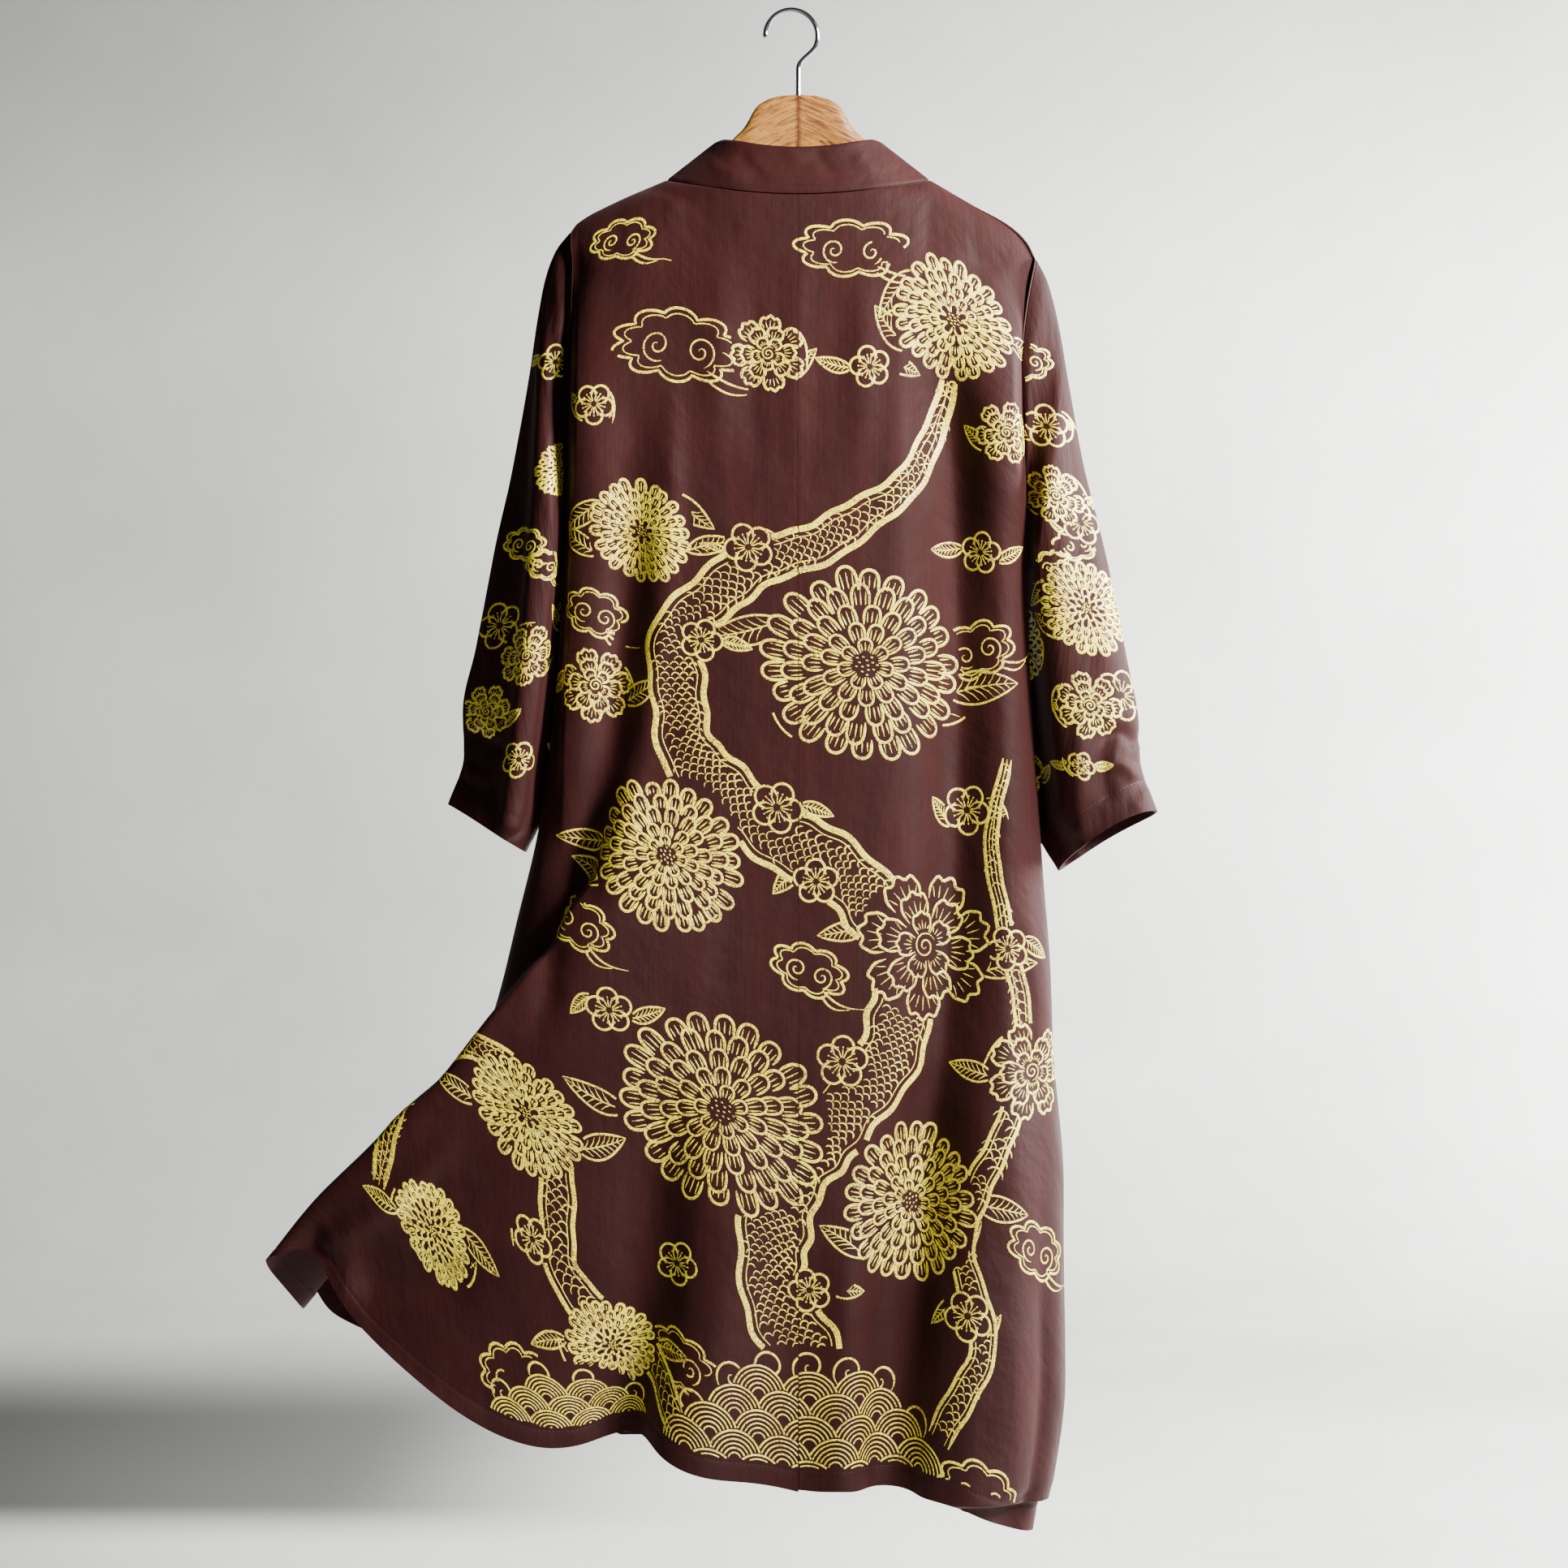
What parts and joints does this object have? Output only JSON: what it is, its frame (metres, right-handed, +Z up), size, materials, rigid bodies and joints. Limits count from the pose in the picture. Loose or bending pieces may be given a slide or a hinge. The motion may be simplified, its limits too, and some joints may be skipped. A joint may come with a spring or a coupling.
{
  "type": "kimono robe on a wooden hanger",
  "caption": "Long open-front kimono robe with three-quarter tube sleeves and a neckband, hung on a contoured wooden hanger, skirt blown to one side.",
  "frame": {"origin": "inside the top of the hanger's hook, where a rod or a cord carries it", "axes": "+Z up, -Y out of the robe's back, +X to the wearer's right hand side"},
  "size_m": [0.8292, 0.207, 1.4222],
  "materials": {
    "robe_cloth": "smooth woven cloth, dark aubergine, with gold line motifs",
    "hanger_wood": "clear satin lacquer",
    "hook_steel": "polished wire"
  },
  "bodies": {
    "root": {"back_left": "robe_cloth", "back_right": "robe_cloth", "front_left": "robe_cloth", "front_right": "robe_cloth", "sleeve_left": "robe_cloth", "sleeve_right": "robe_cloth", "neckband": "robe_cloth", "hanger_half_left": "hanger_wood", "hanger_half_right": "hanger_wood", "hanger_hook": "hook_steel"}
  },
  "joints": []
}
